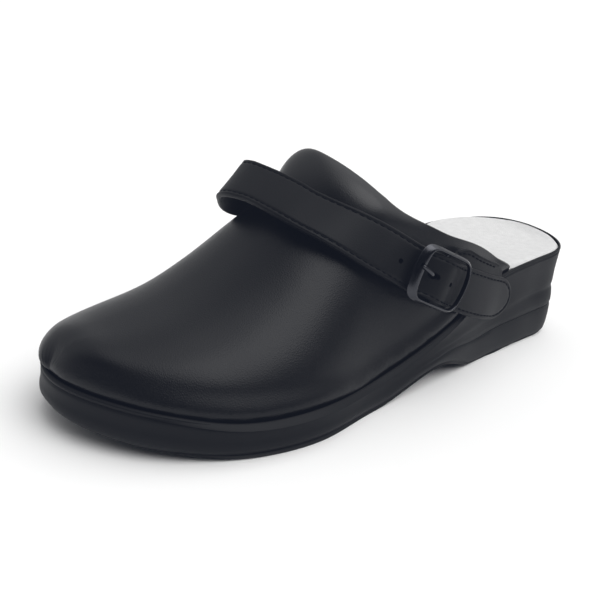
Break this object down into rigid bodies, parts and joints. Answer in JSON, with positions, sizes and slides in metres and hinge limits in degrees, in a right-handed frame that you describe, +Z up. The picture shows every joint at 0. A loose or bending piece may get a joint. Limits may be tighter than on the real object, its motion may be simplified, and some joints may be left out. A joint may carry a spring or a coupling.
{
  "type": "clog",
  "caption": "Backless leather work clog on a moulded wedge-heel sole, with a padded collar and a buckled instep strap that lies loose over the vamp.",
  "frame": {"origin": "on the ground under the middle of the sole's box", "axes": "+X from heel to toe, +Y to the wearer's outer (left) side where the buckle is, +Z up"},
  "size_m": [0.2776, 0.1042, 0.1013],
  "materials": {
    "sole_rubber": "matte black moulded polyurethane",
    "insole_white": "matt white lining over foam",
    "upper_leather": "smooth black leather with a satin shine",
    "strap_leather": "smooth black leather, stitched along its edges",
    "buckle_metal": "dark gunmetal plating",
    "prong_metal": "dark gunmetal plating",
    "chape_leather": "smooth black leather"
  },
  "bodies": {
    "root": {"sole": "sole_rubber", "insole": "insole_white", "upper": "upper_leather", "strap": "strap_leather", "buckle_frame": "buckle_metal", "buckle_prong": "prong_metal", "buckle_chape": "chape_leather"}
  },
  "joints": []
}
